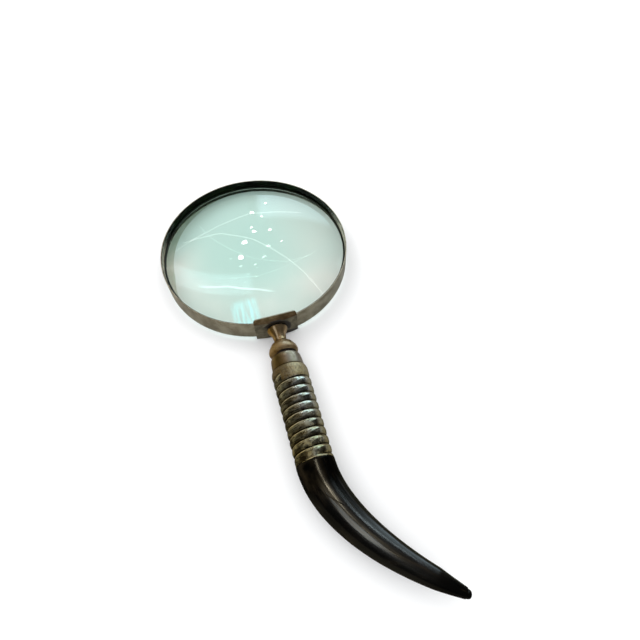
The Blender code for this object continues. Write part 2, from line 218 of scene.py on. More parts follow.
class Shader:
    """Short calls for building the node tree of one material, or of the world."""

    def __init__(self, name, world=None):
        self.material = world or bpy.data.materials.new(name)
        self.material.use_nodes = True
        self.tree = self.material.node_tree
        self.tree.nodes.clear()
        self.out = self.node("ShaderNodeOutputWorld" if world else "ShaderNodeOutputMaterial")

    def node(self, kind, inputs=None, **settings):
        """A new node with its settings, and with its inputs set or linked."""
        made = self.tree.nodes.new(kind)
        for key, value in settings.items():
            setattr(made, key, value)
        for key, value in (inputs or {}).items():
            self.feed(made.inputs[key], value)
        return made

    def feed(self, socket, value):
        """Set a socket to a value, or link a node's output to it."""
        if isinstance(value, bpy.types.NodeSocket):
            self.tree.links.new(value, socket)
        elif isinstance(value, tuple) and len(value) == 3 and socket.type == "RGBA":
            socket.default_value = (*value, 1.0)
        else:
            socket.default_value = value

    def place(self):
        """The object's own coordinates, in metres."""
        return self.node("ShaderNodeTexCoord").outputs["Object"]

    def split(self, vector):
        return self.node("ShaderNodeSeparateXYZ", {0: vector}).outputs

    def join(self, x, y, z):
        return self.node("ShaderNodeCombineXYZ", {0: x, 1: y, 2: z}).outputs[0]

    def math(self, operation, a, b=0.0):
        return self.node("ShaderNodeMath", {0: a, 1: b}, operation=operation).outputs[0]

    def chain(self, operation, first, *others):
        for other in others:
            first = self.math(operation, first, other)
        return first

    def plus(self, *values):
        return self.chain("ADD", *values)

    def minus(self, a, b):
        return self.math("SUBTRACT", a, b)

    def times(self, *values):
        return self.chain("MULTIPLY", *values)

    def over(self, a, b):
        return self.math("DIVIDE", a, b)

    def larger(self, *values):
        return self.chain("MAXIMUM", *values)

    def size(self, a):
        return self.math("ABSOLUTE", a)

    def inverse(self, share):
        """1 minus a share."""
        return self.minus(1.0, share)

    def length(self, a, b):
        return self.math("SQRT", self.plus(self.times(a, a), self.times(b, b)))

    def noise(self, vector, scale, detail=3.0, roughness=0.55, distortion=0.0):
        inputs = {"Vector": vector, "Scale": scale, "Detail": detail, "Roughness": roughness,
                  "Distortion": distortion}
        return self.node("ShaderNodeTexNoise", inputs).outputs["Fac"]

    def stretch(self, vector, scale):
        return self.node("ShaderNodeMapping", {"Vector": vector, "Scale": scale}).outputs[0]

    def ramp(self, value, low, high, kind="SMOOTHSTEP"):
        """0 below low, 1 above high."""
        inputs = {"Value": value, "From Min": low, "From Max": high}
        return self.node("ShaderNodeMapRange", inputs, interpolation_type=kind).outputs["Result"]

    def fade(self, value, low, high):
        """1 below low, 0 above high."""
        return self.inverse(self.ramp(value, low, high))

    def band(self, value, low, high, soft):
        """1 between low and high, fading to 0 over soft on either side."""
        return self.times(self.ramp(value, low - soft, low), self.fade(value, high, high + soft))

    def mix(self, share, a, b, how="MIX"):
        """Mix of two colours."""
        inputs = {0: share, 6: a, 7: b}
        return self.node("ShaderNodeMix", inputs, data_type="RGBA", blend_type=how).outputs[2]

    def tinge(self, share, colour, by):
        """A colour multiplied by another, as far as share says."""
        return self.mix(share, colour, by, "MULTIPLY")

    def blend(self, share, a, b):
        """Mix of two numbers."""
        return self.node("ShaderNodeMix", {0: share, 2: a, 3: b}, data_type="FLOAT").outputs[0]

    def bump(self, height, strength, distance, normal=None):
        """Normal of a surface with this height map, on top of another normal if one is given."""
        inputs = {"Height": height, "Strength": strength, "Distance": distance}
        if normal is not None:
            inputs["Normal"] = normal
        return self.node("ShaderNodeBump", inputs).outputs[0]

    def in_mirror(self):
        """1 for a ray that a polished surface reflected, 0 for one that came straight or through glass."""
        path = self.node("ShaderNodeLightPath").outputs
        return self.times(path["Is Glossy Ray"], self.inverse(path["Is Transmission Ray"]))

    def principled(self, colour, roughness, metallic, normal=None, more=None):
        """The surface's shader. more holds any other inputs."""
        inputs = {"Base Color": colour, "Roughness": roughness, "Metallic": metallic, **(more or {})}
        if normal is not None:
            inputs["Normal"] = normal
        made = self.node("ShaderNodeBsdfPrincipled", inputs).outputs[0]
        self.feed(self.out.inputs["Surface"], made)
        return made


def start_material(name):
    """A shader, the coordinates on the piece, and the same as three numbers."""
    s = Shader(name)
    place = s.place()
    return s, place, *s.split(place)


# ------------ materials

def rim_brass():
    """Grey-brown antiqued brass: cloudy patina, fine brushing round the band, rubbed edges, dark inside
    with a painted brown-grey sheen at glancing angles.
    """
    s, place, x, y, z = start_material("rim_brass")
    radius = s.length(x, y)
    angle = s.math("ARCTAN2", y, x)
    wrapped = s.join(s.times(angle, 52 * MM), z, radius)
    brushed = s.noise(s.stretch(wrapped, (60, 2600, 1)), 1.0, detail=2)
    cloud = s.noise(place, 130, detail=5, roughness=0.62)
    speck = s.noise(place, 900, detail=3, roughness=0.7)
    colour = s.mix(s.ramp(cloud, 0.35, 0.68), (0.24, 0.215, 0.155), (0.42, 0.385, 0.29))
    colour = s.mix(s.times(s.ramp(speck, 0.56, 0.72), 0.45), colour, (0.14, 0.12, 0.08))
    edge = s.ramp(s.size(z), BAND_HALF - 0.40 * MM, BAND_HALF - 0.05 * MM)
    colour = s.mix(s.times(edge, s.ramp(speck, 0.35, 0.6)), colour, (0.62, 0.56, 0.43))
    inner = s.fade(radius, BAND_R - 0.58 * MM, BAND_R - 0.34 * MM)
    dark = s.mix(s.ramp(cloud, 0.4, 0.7), (0.0006, 0.0010, 0.0004), (0.0030, 0.0090, 0.0022))
    # painted sheen: seen at a glancing angle, the black inner wall is painted brown-grey, in place of its
    # grazing reflection
    glance = s.node("ShaderNodeLayerWeight").outputs["Facing"]
    glancing_sheen = s.ramp(s.noise(wrapped, 420, detail=3), 0.35, 0.65)
    glancing_sheen = s.mix(glancing_sheen, (0.34, 0.34, 0.26), (0.68, 0.66, 0.51))
    dark = s.mix(s.ramp(glance, 0.55, 0.84), dark, glancing_sheen)
    colour = s.mix(inner, colour, dark)
    rough = s.blend(s.ramp(cloud, 0.3, 0.7), 0.42, 0.32)
    rough = s.plus(rough, s.times(brushed, 0.06))
    rough = s.blend(inner, rough, 0.25)
    normal = s.bump(brushed, 0.25, 0.02 * MM)
    normal = s.bump(speck, 0.3, 0.03 * MM, normal)
    s.principled(colour, rough, s.blend(inner, 0.9, 0.0), normal)
    return s.material


def inner_dark():
    """Blackened, slightly green brass of the spring rings."""
    s = Shader("ring_dark")
    speck = s.noise(s.place(), 1200, detail=3)
    colour = s.mix(s.ramp(speck, 0.4, 0.7), (0.004, 0.006, 0.003), (0.014, 0.019, 0.011))
    s.principled(colour, 0.45, 0.3, s.bump(speck, 0.3, 0.03 * MM))
    return s.material


def saddle_brass():
    """Duller brass: black painted shade, partly grime, round the stem, a painted shadow under the right
    wing, and brown lips, painted darker to the right, that are rubbed along the back edge.
    """
    s, place, x, y, z = start_material("saddle_brass")
    cloud = s.noise(place, 210, detail=5, roughness=0.6)
    speck = s.noise(place, 1400, detail=3, roughness=0.7)
    colour = s.mix(s.ramp(cloud, 0.35, 0.65), (0.13, 0.118, 0.082), (0.27, 0.245, 0.175))
    lip = s.ramp(s.size(z), SADDLE_TOP - 0.25 * MM, SADDLE_TOP - 0.10 * MM)
    brown = s.mix(s.ramp(cloud, 0.4, 0.6), (0.100, 0.066, 0.030), (0.170, 0.122, 0.066))
    # painted shade: the lips darken towards the right
    brown = s.tinge(s.ramp(x, -4.0 * MM, 6.0 * MM), brown, (0.60, 0.52, 0.44))
    colour = s.mix(lip, colour, brown)
    back = s.ramp(y, -SADDLE_BACK - 0.7 * MM, -SADDLE_BACK - 0.3 * MM)
    colour = s.mix(s.times(back, lip), colour, (0.36, 0.34, 0.27))
    # black painted shade, partly grime, over the stem's spigot, and a painted shadow under the right wing
    ragged = s.plus(s.length(x, z), s.times(cloud, 1.6 * MM))
    shade_and_grime = s.fade(ragged, 8.0 * MM, 9.1 * MM)
    shade_and_grime = s.times(shade_and_grime, s.ramp(s.plus(z, s.times(x, 0.5)), -1.2 * MM, 0.8 * MM))
    slant = s.plus(z, s.times(x, 0.29))
    wing_shadow = s.times(s.ramp(x, 3.0 * MM, 5.0 * MM), s.fade(slant, -2.8 * MM, -1.6 * MM))
    on_wall = s.fade(y, -SADDLE_FRONT + 1.6 * MM, -SADDLE_FRONT + 2.4 * MM)
    lip_edge = s.fade(y, -SADDLE_FRONT + 0.5 * MM, -SADDLE_FRONT + 1.1 * MM)
    shade_and_grime = s.times(s.larger(shade_and_grime, wing_shadow), on_wall, s.larger(s.inverse(lip), lip_edge))
    colour = s.mix(shade_and_grime, colour, (0.006, 0.004, 0.002))
    rough = s.blend(s.ramp(cloud, 0.3, 0.7), 0.50, 0.38)
    s.principled(colour, rough, s.blend(shade_and_grime, 0.9, 0.1), s.bump(speck, 0.3, 0.04 * MM))
    return s.material


def turned_metal(name, dark, base, bright, line, roughness, patch=0.5, rings=0.25):
    """Turned brass or bronze: fine lathe rings, clouds of patina, painted shade on the left, painted
    highlight lines and painted shade in the joint.
    """
    s, place, x, y, z = start_material(name)
    along = s.times(y, -1.0)
    lathe_marks = s.noise(s.stretch(place, (40, 5200, 40)), 1.0, detail=2)
    cloud = s.noise(s.stretch(place, (1, 0.7, 1)), 260, detail=5, roughness=0.62, distortion=0.4)
    speck = s.noise(place, 1700, detail=3, roughness=0.7)
    colour = s.mix(s.ramp(cloud, 0.32, 0.62), dark, base)
    colour = s.mix(s.times(s.ramp(speck, 0.55, 0.7), patch), colour, dark)
    colour = s.mix(s.times(s.ramp(cloud, 0.6, 0.75), 0.8), colour, bright)
    # painted shade: the left side is tinted darker and browner
    colour = s.tinge(s.fade(x, -5.0 * MM, 1.5 * MM), colour, (0.97, 0.74, 0.24))
    # painted highlight: a dull pale line down the trumpet, and one round the cap's upper edge
    from_line = s.size(s.minus(s.math("ARCTAN2", z, x), math.radians(108)))
    painted_highlight = s.times(s.fade(from_line, 0.04, 0.20),
                     s.band(along, STEM_START + 3.2 * MM, STEM_WAIST, 1.5 * MM))
    cap_edge_highlight = s.band(along, CAP_START + 0.02 * MM, CAP_START + 0.28 * MM, 0.12 * MM)
    cap_edge_highlight = s.times(cap_edge_highlight, s.ramp(x, -1.5 * MM, 0.5 * MM))
    painted_highlight = s.times(s.larger(painted_highlight, cap_edge_highlight), s.ramp(cloud, 0.25, 0.5))
    colour = s.mix(painted_highlight, colour, line)
    # brown tarnish on the flange, and black painted shade in the joint under it, except on the left
    tarnish = s.times(s.band(along, FLANGE_START, STEM_END, 0.8 * MM), s.ramp(cloud, 0.30, 0.60), 0.7)
    colour = s.mix(tarnish, colour, (0.11, 0.080, 0.040))
    joint = s.times(s.band(along, STEM_END - 0.35 * MM, CAP_START - 0.05 * MM, 0.15 * MM),
                    s.ramp(x, -5.0 * MM, -1.0 * MM))
    colour = s.mix(joint, colour, (0.006, 0.003, 0.002))
    rough = s.blend(s.ramp(cloud, 0.35, 0.7), roughness + 0.08, roughness - 0.04)
    rough = s.plus(rough, s.times(lathe_marks, 0.08))
    normal = s.bump(lathe_marks, rings, 0.02 * MM)
    normal = s.bump(speck, 0.25, 0.03 * MM, normal)
    dull = s.larger(painted_highlight, joint, tarnish)
    s.principled(colour, rough, s.blend(dull, 0.92, 0.15), normal)
    return s.material


def sleeve_brass():
    """Olive brass: rough plain collar, glossy dark ribs, black grooves, brown stains, pale crests of wear
    and painted highlight, painted shade on the left and a painted sheen on the right.
    """
    s, place, x, y, z = start_material("sleeve_patina")
    radius = s.length(x, z)
    along = s.times(y, -1.0)
    turns = s.over(s.minus(s.math("ARCTAN2", z, x), SPIRAL_ANGLE), TAU)
    pitches = s.over(s.minus(along, SPIRAL_START), SPIRAL_PITCH)
    from_groove = s.math("FRACT", s.minus(pitches, turns))
    right = s.ramp(x, -2.5 * MM, 2.5 * MM)
    left = s.inverse(right)
    cloud = s.noise(place, 330, detail=6, roughness=0.65, distortion=0.6)
    speck = s.noise(place, 1500, detail=4, roughness=0.7)
    brushed = s.noise(s.stretch(place, (2600, 500, 2600)), 1.0, detail=2)
    scratch = s.noise(s.stretch(place, (260, 1500, 260)), 1.0, detail=4, roughness=0.7)
    height = s.ramp(radius, 7.95 * MM, 8.8 * MM)
    height = s.plus(height, s.times(s.minus(cloud, 0.5), 0.8))
    colour = s.mix(s.ramp(height, 0.20, 0.80), (0.010, 0.008, 0.0045), (0.19, 0.172, 0.115))
    colour = s.mix(s.ramp(height, 0.83, 1.13), colour, (0.47, 0.50, 0.48))
    stain = s.noise(s.stretch(place, (1, 1.6, 1)), 210, detail=4, distortion=0.5)
    colour = s.mix(s.times(s.ramp(stain, 0.53, 0.66), 0.75), colour, (0.050, 0.034, 0.014))
    colour = s.mix(s.times(s.ramp(speck, 0.54, 0.70), 0.55), colour, (0.030, 0.022, 0.010))
    colour = s.mix(s.times(left, s.ramp(scratch, 0.50, 0.62)), colour, (0.018, 0.015, 0.008))
    # the plain collar ends where the groove begins its first turn
    collar = s.fade(s.minus(pitches, s.math("FRACT", turns)), -0.16, -0.08)
    ribbed = s.inverse(collar)
    plain = s.mix(s.ramp(brushed, 0.35, 0.65), (0.17, 0.130, 0.056), (0.36, 0.290, 0.145))
    # painted shade: the collar is darker on its left
    plain = s.tinge(left, plain, (0.40, 0.34, 0.22))
    colour = s.mix(s.times(collar, 0.85), colour, plain)
    # the shoulder just past each groove gets a thin dull pale line: wear with a painted highlight,
    # strongest on the left
    crest_wear_and_highlight = s.times(s.band(from_groove, 0.09, 0.13, 0.04), ribbed)
    crest_wear_and_highlight = s.times(crest_wear_and_highlight, s.blend(right, 1.0, 0.25), s.ramp(cloud, 0.28, 0.48))
    colour = s.mix(crest_wear_and_highlight, colour, (0.48, 0.44, 0.33))
    # worn olive patches, mostly low on the sleeve, and a painted olive sheen down the right side
    patches = s.times(s.fade(stain, 0.36, 0.52), s.blend(s.ramp(along, 96 * MM, SLEEVE_LOW), 0.15, 0.9))
    side = s.times(s.ramp(x, 5.0 * MM, 7.6 * MM), 0.8)
    olive_wear_and_sheen = s.times(s.larger(patches, side), s.ramp(height, 0.2, 0.6), ribbed)
    colour = s.mix(olive_wear_and_sheen, colour, (0.18, 0.158, 0.092))
    # painted shade makes the left side darker and yellower; real yellowing grows towards the horn
    colour = s.tinge(s.fade(x, -6.5 * MM, 1.0 * MM), colour, (1.0, 0.88, 0.55))
    colour = s.tinge(s.ramp(along, 94 * MM, SLEEVE_LOW), colour, (0.90, 0.84, 0.64))
    rough = s.blend(right, 0.34, 0.15)
    rough = s.plus(rough, s.times(s.minus(speck, 0.5), 0.16))
    rough = s.blend(collar, rough, 0.46)
    normal = s.bump(speck, 0.25, 0.05 * MM)
    normal = s.bump(cloud, 0.20, 0.10 * MM, normal)
    normal = s.bump(s.times(scratch, left), 0.35, 0.06 * MM, normal)
    normal = s.bump(s.times(brushed, collar), 0.35, 0.04 * MM, normal)
    dull = s.larger(crest_wear_and_highlight, olive_wear_and_sheen, s.times(collar, 0.5))
    s.principled(colour, rough, s.blend(dull, 0.97, 0.15), normal)
    return s.material


def horn_black():
    """Polished buffalo horn: black, with olive and brown fibres that follow its curve, and a top streak
    that is partly painted sheen.
    """
    s = Shader("horn_black")
    uv = s.node("ShaderNodeUVMap", uv_map="horn").outputs[0]
    u, v, _ = s.split(uv)
    wave = s.join(s.times(u, 9.0), s.times(v, 1.3), 0.0)
    wave = s.noise(wave, 2.2, detail=6, roughness=0.62, distortion=0.25)
    fine = s.noise(s.join(s.times(u, 70.0), s.times(v, 3.0), 0.3), 2.0, detail=4)
    patch = s.join(s.times(u, 3.0), s.times(v, 2.4), 1.7)
    patch = s.noise(patch, 2.0, detail=3, distortion=0.6)
    streak = s.times(s.ramp(wave, 0.50, 0.74), s.ramp(patch, 0.42, 0.62), s.ramp(fine, 0.30, 0.62))
    colour = s.mix(streak, (0.0006, 0.0006, 0.0005), (0.030, 0.022, 0.012))
    # one long olive streak along the top: the horn's own colour with a painted sheen under the overhead
    # glint
    wander = s.plus(u, s.times(s.minus(wave, 0.5), 0.14))
    top = s.times(s.band(wander, 0.262, 0.292, 0.025), s.band(v, 0.28, 0.80, 0.20))
    top = s.times(top, s.ramp(fine, 0.35, 0.60), 0.6)
    colour = s.mix(top, colour, (0.060, 0.048, 0.028))
    colour = s.mix(s.times(s.ramp(patch, 0.58, 0.75), 0.25), colour, (0.010, 0.006, 0.004))
    # mottled brown on the upper side where the horn leaves the sleeve
    stain = s.times(s.fade(v, 0.04, 0.24), s.ramp(patch, 0.30, 0.55), s.band(u, 0.25, 0.38, 0.06))
    colour = s.mix(stain, colour, (0.016, 0.0115, 0.006))
    # one short crack across the streak
    crack = s.plus(v, s.times(s.minus(u, 0.27), 2.0))
    crack = s.times(s.band(crack, 0.305, 0.312, 0.012), s.band(u, 0.24, 0.30, 0.02))
    rough = s.plus(0.10, s.times(fine, 0.16))
    normal = s.bump(fine, 0.15, 0.05 * MM)
    normal = s.bump(wave, 0.25, 0.25 * MM, normal)
    # shiniest halfway along, dull at the base, at the tip and in the crack
    gloss = s.blend(s.ramp(wave, 0.40, 0.60), 0.5, 0.34)
    gloss = s.plus(gloss, s.times(s.ramp(v, 0.35, 0.75), 0.35))
    gloss = s.blend(s.ramp(v, 1.00, 1.25), gloss, 0.20)
    gloss = s.times(gloss, s.blend(s.ramp(v, 0.15, 0.29), 0.06, 1.0), s.inverse(s.times(crack, 0.95)))
    s.principled(colour, rough, 0.0, normal, {"IOR": 1.54, "Specular IOR Level": gloss})
    return s.material


def lens_glass():
    """Grey-green glass, deepest in the middle, with a painted greyer right side and a painted grey
    crescent. Shadow and diffuse rays pass straight through, tinted.
    """
    s, place, x, y, z = start_material("lens_glass")
    radius = s.length(x, y)
    outwards = s.ramp(radius, 0.1 * LENS_R, 0.9 * LENS_R, "LINEAR")
    tint = s.mix(outwards, (0.765, 0.873, 0.840), (0.80, 0.90, 0.87))
    # painted sheen: the tint turns greyer towards the right
    tint = s.mix(s.ramp(x, 4 * MM, 32 * MM), tint, (0.805, 0.875, 0.845))
    # painted grey crescent, in place of the rim's shadowed side as the upper face shows it, widest at the
    # upper left
    lean = math.radians(150)
    towards_lean = s.plus(s.times(x, math.cos(lean)), s.times(y, math.sin(lean)))
    width = s.math("POWER", s.larger(s.over(towards_lean, radius), 0.0), 1.2)
    width = s.times(width, s.ramp(s.over(y, radius), -0.46, -0.10))
    start = s.minus(LENS_R - 0.5 * MM, s.times(width, 4.8 * MM))
    past = s.minus(radius, start)
    painted_crescent = s.times(s.ramp(past, -0.12 * MM, 0.12 * MM), s.ramp(z, 0.0, 0.1 * MM))
    grey = s.ramp(s.noise(place, 160, detail=3), 0.35, 0.65)
    grey = s.mix(grey, (0.36, 0.42, 0.32), (0.46, 0.51, 0.42))
    tint = s.mix(painted_crescent, tint, grey)
    glass = s.principled(tint, 0.0, 0.0, more={"Transmission Weight": 1.0, "IOR": 1.52})
    clear = s.node("ShaderNodeBsdfTransparent", {"Color": tint}).outputs[0]
    path = s.node("ShaderNodeLightPath").outputs
    passes = s.larger(path["Is Shadow Ray"], path["Is Diffuse Ray"])
    both = s.node("ShaderNodeMixShader", {0: passes, 1: glass, 2: clear}).outputs[0]
    s.feed(s.out.inputs["Surface"], both)
    return s.material


def simple_stuff(name, dark, light, scale, roughness, bump=0.3, metallic=0.0, stretch=(1, 1, 1)):
    """Fibrous or machined stuff for the hidden pieces."""
    s = Shader(name)
    place = s.stretch(s.place(), stretch)
    grain = s.noise(place, scale, detail=5, roughness=0.6, distortion=0.3)
    colour = s.mix(s.ramp(grain, 0.3, 0.7), dark, light)
    s.principled(colour, roughness, metallic, s.bump(grain, bump, 0.06 * MM))
    return s.material


RIM = rim_brass()
DARK = inner_dark()
SADDLE = saddle_brass()
BRONZE = turned_metal("stem_bronze", (0.20, 0.125, 0.050), (0.48, 0.35, 0.20), (0.60, 0.50, 0.36),
                      (0.30, 0.23, 0.14), 0.26)
CAP_BRASS = turned_metal("cap_brass", (0.17, 0.14, 0.085), (0.24, 0.20, 0.155), (0.28, 0.245, 0.20),
                         (0.42, 0.42, 0.40), 0.30)
SLEEVE = sleeve_brass()
HORN = horn_black()
GLASS = lens_glass()
CARD = simple_stuff("packing_card", (0.16, 0.13, 0.09), (0.36, 0.31, 0.24), 900, 0.9)
STEEL = simple_stuff("stud_steel", (0.22, 0.22, 0.22), (0.52, 0.52, 0.53), 700, 0.34, 0.15, 1.0)
LEATHER = simple_stuff("washer_leather", (0.010, 0.007, 0.005), (0.055, 0.036, 0.022), 1600, 0.75, 0.6)
WOOD = simple_stuff("plug_wood", (0.20, 0.12, 0.06), (0.52, 0.37, 0.21), 500, 0.7, 0.3, 0.0, (1, 0.06, 1))
BUSH = simple_stuff("bush_brass", (0.30, 0.22, 0.08), (0.62, 0.47, 0.20), 800, 0.3, 0.15, 1.0)


# ------------ head

def ring_section(name, outline, opening, material):
    """Sweep a closed outline of (z, radius) points about the optical axis, open at the handle."""
    verts = []
    half = 0.5 * opening / BAND_R
    for k in range(RING_STEPS + 1):
        angle = -math.pi / 2 + half + (TAU - 2 * half) * k / RING_STEPS
        verts += [(radius * math.cos(angle), radius * math.sin(angle), z) for z, radius in outline]
    rows = len(outline)
    faces = []
    for k in range(RING_STEPS):
        here, after = k * rows, (k + 1) * rows
        for i in range(rows):
            j = (i + 1) % rows
            faces.append([here + i, here + j, after + j, after + i])
    faces.append(list(range(rows)))
    faces.append([RING_STEPS * rows + i for i in range(rows)][::-1])
    return new_object(name, verts, faces, "head", material)


def make_band():
    """Flat strip bent into a hoop, its ends apart under the saddle."""
    outline = rounded_section(-BAND_HALF, BAND_HALF, BAND_R - BAND_WALL, BAND_R, 0.2 * MM)
    band = ring_section("rim_band_strip", outline, BAND_OPENING, RIM)
    stands_for("rim_band")


def make_spring_rings():
    """Two blackened spring wires that hold the lens from above and below."""
    outer = BAND_R - BAND_WALL - 0.1 * MM
    for node in ("lens_retaining_ring", "lens_seat_ring"):
        low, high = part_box(node)
        outline = rounded_section(low.z, high.z, outer - SPRING_WIDTH, outer, 0.3 * MM)
        ring = ring_section(node + "_wire", outline, SPRING_OPENING, DARK)
        stands_for(node)


def make_lens():
    """Two spherical faces and a ground edge with a small chamfer."""
    edge = LENS_EDGE
    sag = LENS_TOP - edge
    sphere = (LENS_R ** 2 + sag ** 2) / (2 * sag)
    chamfer = 0.25 * MM
    rings = 60
    steps = 256
    profile = []
    for i in range(1, rings + 1):
        radius = (LENS_R - chamfer) * math.sin(0.5 * math.pi * i / rings)
        profile.append((edge + sag - sphere + math.sqrt(sphere ** 2 - radius ** 2), radius))
    profile.append((edge - chamfer, LENS_R))
    profile += [(-z, radius) for z, radius in reversed(profile)]
    verts = [(0, 0, LENS_TOP)]
    for z, radius in profile:
        verts += circle(0, 0, z, radius, steps)
    verts.append((0, 0, -LENS_TOP))
    faces = [[0, 1 + k, 1 + (k + 1) % steps] for k in range(steps)]
    faces += [[1 + v for v in face] for face in grid_faces(len(profile), steps, False)]
    base = 1 + (len(profile) - 1) * steps
    last = len(verts) - 1
    faces += [[last, base + (k + 1) % steps, base + k] for k in range(steps)]
    lens = new_object("lens_glass", verts, faces, "head", GLASS, smooth_degrees=25)
    stands_for("lens")


def make_saddle():
    """U-shaped bracket: the CAD outline with rounded corners and softened edges."""
    front = SADDLE_FRONT
    inside = SADDLE_TOP - SADDLE_WALL
    stem_hole = 2.1 * MM
    half_angle = math.asin(SADDLE_HALF / front)
    corner = 1.7 * MM
    outline = [(front * math.sin(a), -front * math.cos(a))
               for a in np.linspace(-half_angle, half_angle, 49)]
    for side in (1, -1):
        cx, cy = side * (SADDLE_HALF - corner), -SADDLE_BACK - corner
        for i in range(9):
            a = 0.5 * math.pi * i / 8 + (0 if side == 1 else 0.5 * math.pi)
            outline.append((cx + corner * math.cos(a), cy + corner * math.sin(a)))
    bm = bmesh.new()
    base = bm.faces.new([bm.verts.new((x, y, -SADDLE_TOP)) for x, y in outline])
    grown = bmesh.ops.extrude_face_region(bm, geom=[base])
    top = [item for item in grown["geom"] if isinstance(item, bmesh.types.BMVert)]
    bmesh.ops.translate(bm, verts=top, vec=(0, 0, 2 * SADDLE_TOP))
    mesh = bpy.data.meshes.new("saddle_bracket")
    bm.to_mesh(mesh)
    bm.free()
    saddle = finish_mesh("saddle_bracket", mesh, "head", SADDLE, 30)
    cut_cylinder(saddle, front - SADDLE_WALL, (0, 0, -inside), (0, 0, inside), 720)
    cut_cylinder(saddle, stem_hole, (0, -0.9 * front, 0), (0, -1.1 * front, 0), 48)
    bevel = saddle.modifiers.new("soften", "BEVEL")
    bevel.width = 0.3 * MM
    bevel.segments = 4
    bevel.limit_method = "ANGLE"
    bevel.angle_limit = math.radians(50)
    bake(saddle, 40)
    stands_for("saddle")


def cut_cylinder(piece, radius, start, end, steps):
    """Bore a cylinder out of a piece."""
    axis = Vector(end) - Vector(start)
    place = Matrix.Translation((Vector(start) + Vector(end)) / 2)
    place = place @ axis.to_track_quat("Z", "Y").to_matrix().to_4x4()
    bm = bmesh.new()
    bmesh.ops.create_cone(bm, cap_ends=True, segments=steps, radius1=radius, radius2=radius,
                          depth=axis.length, matrix=place)
    mesh = bpy.data.meshes.new("cutter")
    bm.to_mesh(mesh)
    bm.free()
    cutter = add("cutter", mesh)
    cutter.location = LENS_CENTRE
    boolean = piece.modifiers.new("cut", "BOOLEAN")
    boolean.operation = "DIFFERENCE"
    boolean.solver = "EXACT"
    boolean.object = cutter
    bake(piece)
    bpy.data.objects.remove(cutter)


def bake(piece, smooth_degrees=None):
    """Apply a piece's modifiers."""
    graph = bpy.context.evaluated_depsgraph_get()
    mesh = bpy.data.meshes.new_from_object(piece.evaluated_get(graph))
    piece.modifiers.clear()
    piece.data = mesh
    if smooth_degrees:
        mesh.shade_smooth()
        mesh.set_sharp_from_angle(angle=math.radians(smooth_degrees))


def make_stem():
    """Spigot, trumpet, waist and bell flange, bored for the stud."""
    body = smooth_curve(0.0, (
        (53.15, 4.95), (53.35, 5.25), (53.8, 5.32), (54.5, 5.05), (55.4, 4.5), (56.8, 3.75), (58.6, 3.3),
        (60.2, 3.2), (61.1, 3.45), (61.7, 4.1), (62.1, 4.85), (62.6, 5.4), (63.4, 5.95), (64.8, 6.85),
        (66.2, 7.35), (67.2, 7.42), (67.8, 7.2), (68.2, 6.75), (68.5, 6.2), (68.8, 5.9)))
    axis = 0.05 * MM
    bore = 3.25 * MM
    floor = STUD_START - 0.2 * MM
    start = STEM_START + 0.02 * MM
    spigot = [(start, axis), (start, 1.6 * MM), (start + 0.3 * MM, 1.95 * MM), (53.05 * MM, 2.0 * MM),
              (53.08 * MM, 4.7 * MM)]
    mouth = [(STEM_END, 5.8 * MM), (STEM_END, bore + 0.35 * MM), (STEM_END - 0.35 * MM, bore),
             (floor, bore), (floor - 1.0 * MM, axis)]
    loops = spigot + body + mouth
    stem = lathe("stem_turned", loops, "head", BRONZE, steps=128, smooth_degrees=35, closed=False)
    stands_for("stem")


def make_stud():
    """Threaded rod: a right-hand V thread, 20 turns to the inch, chamfered at both ends."""
    axis = 0.05 * MM
    chamfer = 0.5 * MM
    rows = int((STUD_END - STUD_START) / (THREAD_PITCH / 8))
    loops = [(STUD_START, axis), (STUD_START, STUD_R - chamfer)]
    loops += [(STUD_START + (STUD_END - STUD_START) * (i + 0.5) / rows, STUD_R) for i in range(rows)]
    loops += [(STUD_END, STUD_R - chamfer), (STUD_END, axis)]

    def thread(along, angle, radius):
        if radius < STUD_R - 0.1 * MM:
            return 0.0
        bevel = max(0.0, chamfer - min(along - STUD_START, STUD_END - along))
        phase = ((along - STUD_START) / THREAD_PITCH - angle / TAU) % 1.0
        valley = min(1.0, max(0.0, (1 - abs(2 * phase - 1)) * 1.25 - 0.12))
        return -max(THREAD_DEPTH * valley, bevel)

    stud = lathe("stem_stud_thread", loops, "head", STEEL, steps=48, wobble=thread, closed=False)
    stands_for("stem_stud")


def make_washer():
    """Thin leather disc between the flange and the cap."""
    low, high = along_of("joint_washer")
    outline = rounded_section(low, high, STUD_HOLE_R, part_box("joint_washer")[1].x, 0.2 * MM)
    washer = lathe("joint_washer_disc", outline, "washer", LEATHER)
    stands_for("joint_washer")


# ------------ handle

def make_end_cap():
    """Plain ring under the flange: a soft shoulder, then a flank that swells slightly."""
    flank = smooth_curve(CAP_START, (
        (0.05, 6.1), (0.2, 6.6), (0.5, 7.0), (1.0, 7.32), (1.9, 7.58), (3.4, 7.75), (5.2, 7.88),
        (6.9, 7.98), (7.25, 7.95), (7.45, 7.8)))
    floor = CAP_START + 1.2 * MM
    hole = STUD_HOLE_R
    skirt = 6.3 * MM
    ease = 0.2 * MM
    loops = [(CAP_START, hole + ease), (CAP_START, 5.9 * MM)] + flank
    loops += [(CAP_END, 7.6 * MM), (CAP_END, skirt), (floor, skirt), (floor, hole)]
    loops.append((CAP_START + ease, hole))
    cap = lathe("end_cap_ring", loops, "handle", CAP_BRASS, steps=128, smooth_degrees=35)
    stands_for("end_cap")


